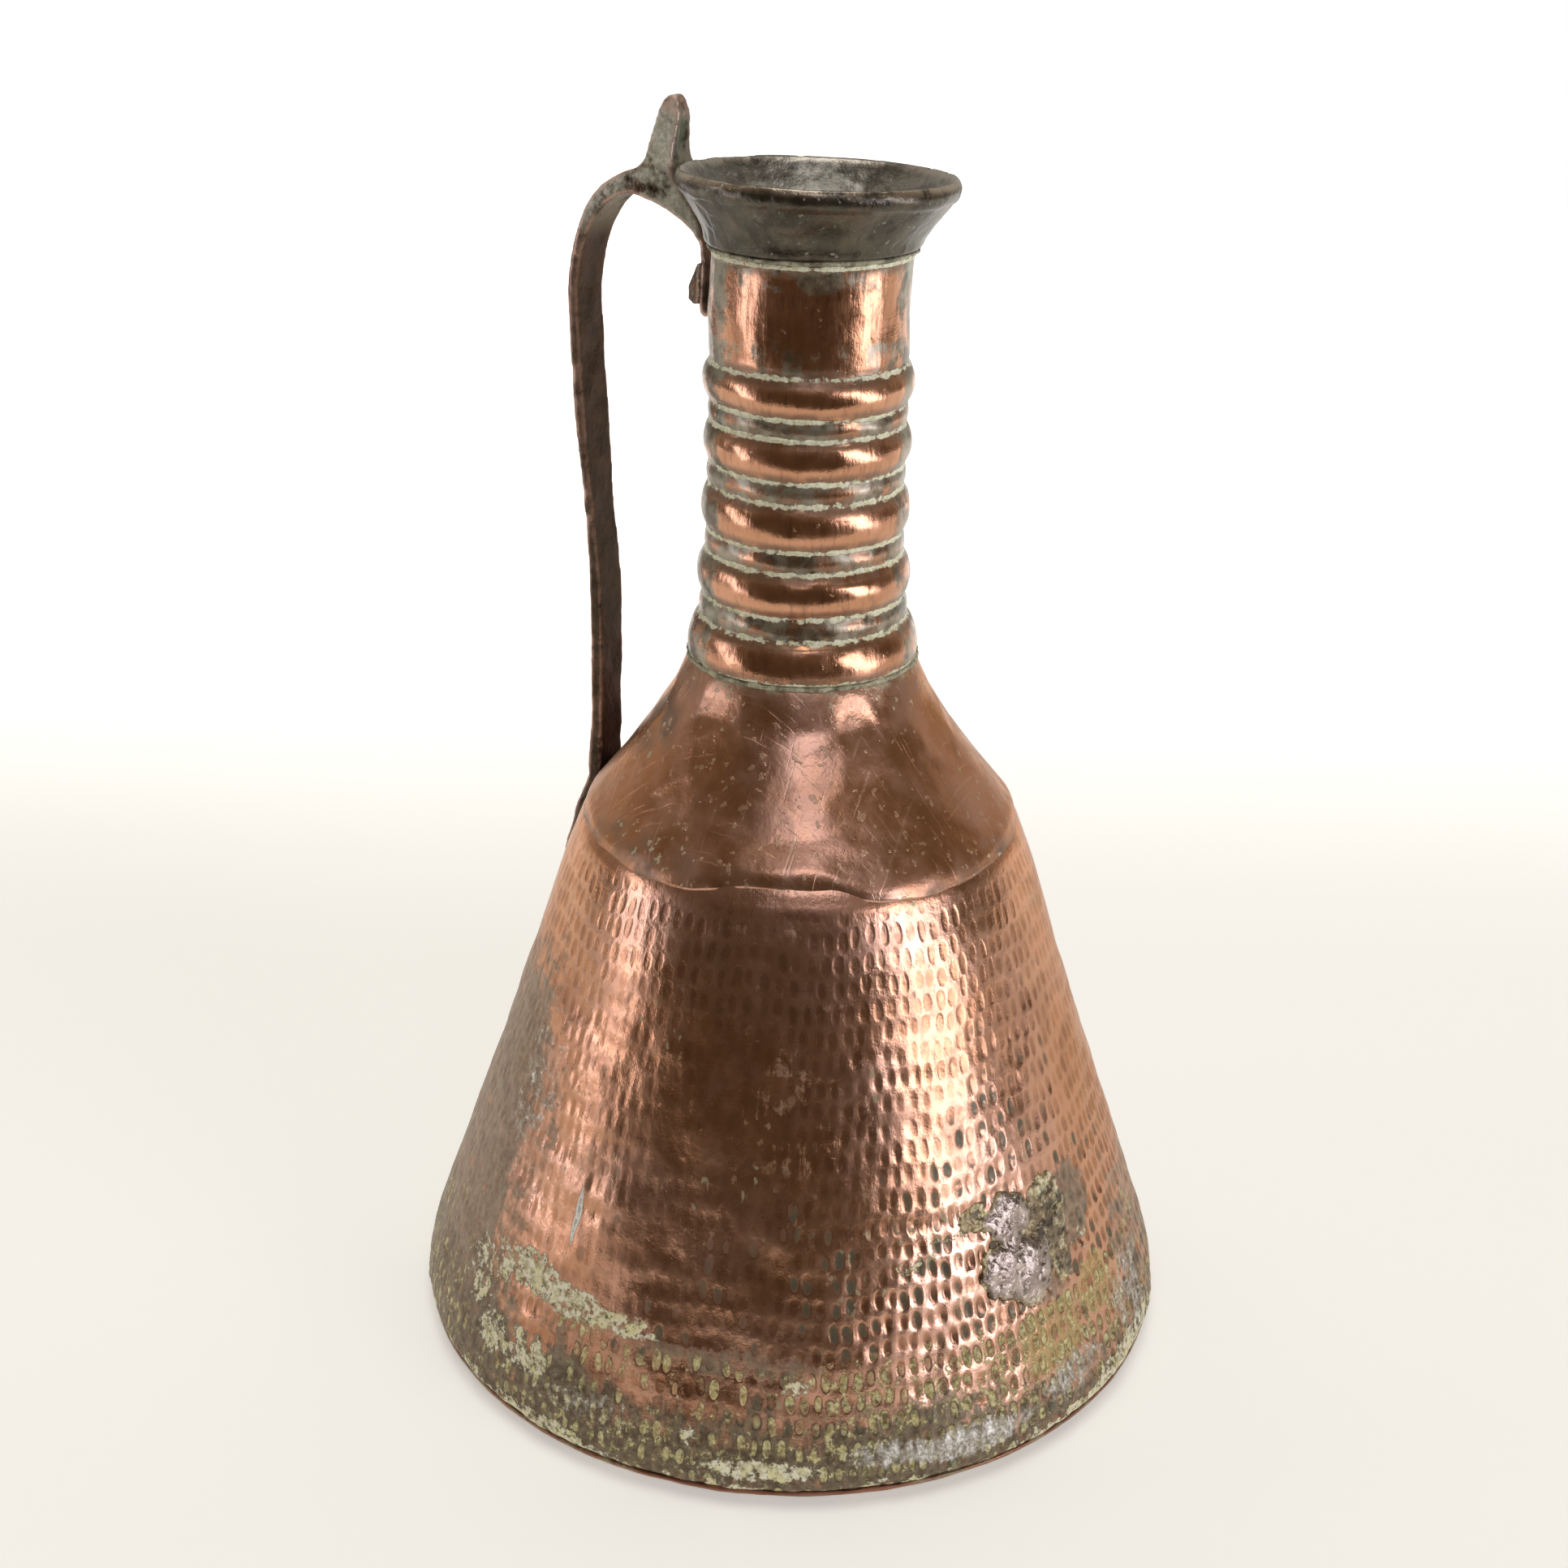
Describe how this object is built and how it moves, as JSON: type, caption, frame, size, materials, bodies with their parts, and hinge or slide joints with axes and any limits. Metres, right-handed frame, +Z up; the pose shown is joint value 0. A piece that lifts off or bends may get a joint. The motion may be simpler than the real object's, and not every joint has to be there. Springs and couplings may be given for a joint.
{
  "type": "water jug",
  "caption": "Tall hammered copper water jug with a conical body, ribbed neck, flared cast mouth and a riveted strap handle with a thumb prong.",
  "frame": {"origin": "centre of the bottom, on the surface the jug stands on", "axes": "+Z up along the jug's axis, handle on the -X side in the XZ plane"},
  "size_m": [0.2884, 0.2884, 0.4518],
  "materials": {
    "base_copper": "hammered, worn, dark patina",
    "hammered_copper": "hammered copper, brown patina, verdigris in the marks",
    "smooth_copper": "planished copper, brown patina",
    "neck_copper": "burnished copper, green crust in the grooves",
    "cast_bronze": "dark cast bronze, worn smooth",
    "forged_handle": "dark forged copper alloy, rubbed edges",
    "rivet_copper": "hammered copper",
    "seam_solder": "dull soft solder with pale green crust",
    "repair_solder": "lumpy grey-pink solder"
  },
  "bodies": {
    "root": {"base_pan": "base_copper", "body_wall": "hammered_copper", "shoulder_dome": "smooth_copper", "neck_tube": "neck_copper", "mouth_collar": "cast_bronze", "handle": "forged_handle", "neck_rivet": "forged_handle", "neck_rivet_rove": "rivet_copper", "handle_foot_rivets": "rivet_copper", "handle_foot_roves": "rivet_copper", "base_seam_solder": "seam_solder", "shoulder_seam_solder": "seam_solder", "neck_seam_solder": "seam_solder", "collar_seam_solder": "seam_solder", "repair_patch": "repair_solder"}
  },
  "joints": []
}
